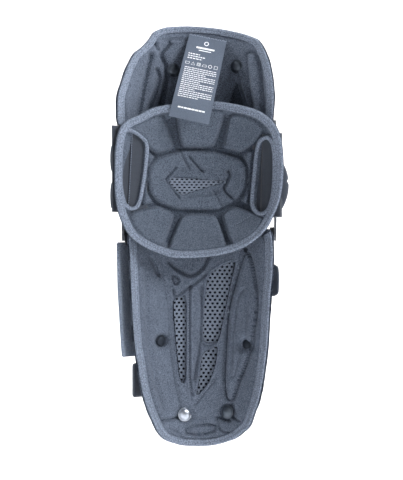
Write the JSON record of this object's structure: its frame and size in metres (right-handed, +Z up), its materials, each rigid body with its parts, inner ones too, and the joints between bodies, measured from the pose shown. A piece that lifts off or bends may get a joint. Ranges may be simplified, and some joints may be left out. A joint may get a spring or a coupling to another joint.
{
  "type": "knee and shin guard",
  "caption": "Hinged knee and shin guard with hard outer shells, contoured foam lining, vent mesh and wrap-around straps, folded forward for display.",
  "frame": {"origin": "centre of the knee cup's lining, where the kneecap rests", "axes": "+Z up the leg towards the thigh, +Y forward through the hard shells, -Y towards the leg, +X to the side the straps are sewn on"},
  "size_m": [0.1943, 0.0903, 0.4698],
  "materials": {
    "shell": "moulded, fine grain",
    "foam": "brushed knit laminated on foam",
    "binding": "folded woven tape, stitched",
    "mesh": "open air mesh",
    "webbing": "ribbed elastic webbing",
    "hook": "moulded hook field",
    "label": "satin woven tape",
    "rivet": "pressed dome cap",
    "plate": "tough rubbery plastic",
    "screw": "zinc",
    "core": "closed-cell foam",
    "thread": "polyester thread"
  },
  "bodies": {
    "shin": {"shin_shell": "shell", "shin_pad": "foam", "shin_binding": "binding", "shin_mesh_right": "mesh", "shin_mesh_left": "mesh", "shin_rivets_mid": "rivet", "shin_rivets_low": "rivet"},
    "knee": {"knee_shell": "shell", "knee_pad": "foam", "knee_binding": "binding", "knee_mesh": "mesh", "slot_bindings": "binding", "kneeling_plate": "plate", "plate_screws": "screw", "pivot_rivets": "rivet", "knee_core": "core", "slot_webbing_right": "webbing", "slot_webbing_left": "webbing", "strap_gusset": "webbing"},
    "thigh": {"thigh_shell": "shell", "thigh_pad": "foam", "thigh_binding": "binding", "thigh_rivets": "rivet", "label_stitching": "thread"},
    "label": {"care_label": "label"},
    "upper_knee_strap": {"knee_strap_upper": "webbing", "knee_hook_upper": "hook"},
    "lower_knee_strap": {"knee_strap_lower": "webbing", "knee_hook_lower": "hook"},
    "calf_wing_flap": {"calf_wing": "foam"},
    "calf_strap_flap": {"calf_strap": "webbing", "calf_hook": "hook"},
    "ankle_strap_flap": {"ankle_strap": "webbing", "ankle_hook": "hook"}
  },
  "joints": [
    {"name": "knee_to_shin", "type": "hinge", "parent": "shin", "child": "knee", "pos_m": [0, -0.024, -0.028], "axis": [1, 0, 0], "range_deg": [0, 26]},
    {"name": "thigh_to_knee", "type": "hinge", "parent": "knee", "child": "thigh", "pos_m": [0, -0.024, 0.028], "axis": [1, 0, 0], "range_deg": [0, 30]},
    {"name": "label_flip", "type": "hinge", "parent": "thigh", "child": "label", "pos_m": [0.0125, 0.0138, 0.1585], "axis": [0.9678, -0.1452, -0.2058], "range_deg": [-140, 0]},
    {"name": "upper_knee_strap_swing", "type": "hinge", "parent": "knee", "child": "upper_knee_strap", "pos_m": [0.0885, -0.0095, 0.02], "axis": [0, 0, 1], "range_deg": [-150, 0]},
    {"name": "lower_knee_strap_swing", "type": "hinge", "parent": "knee", "child": "lower_knee_strap", "pos_m": [0.0885, -0.0095, -0.02], "axis": [0, 0, 1], "range_deg": [-150, 0]},
    {"name": "calf_wing_swing", "type": "hinge", "parent": "shin", "child": "calf_wing_flap", "pos_m": [-0.0865, -0.0225, -0.13], "axis": [0, 0, 1], "range_deg": [0, 150]},
    {"name": "calf_strap_swing", "type": "hinge", "parent": "shin", "child": "calf_strap_flap", "pos_m": [0.0875, -0.016, -0.109], "axis": [0, 0, 1], "range_deg": [-150, 0]},
    {"name": "ankle_strap_swing", "type": "hinge", "parent": "shin", "child": "ankle_strap_flap", "pos_m": [0.062, 0.002, -0.219], "axis": [0, 0, 1], "range_deg": [-110, 0]}
  ]
}
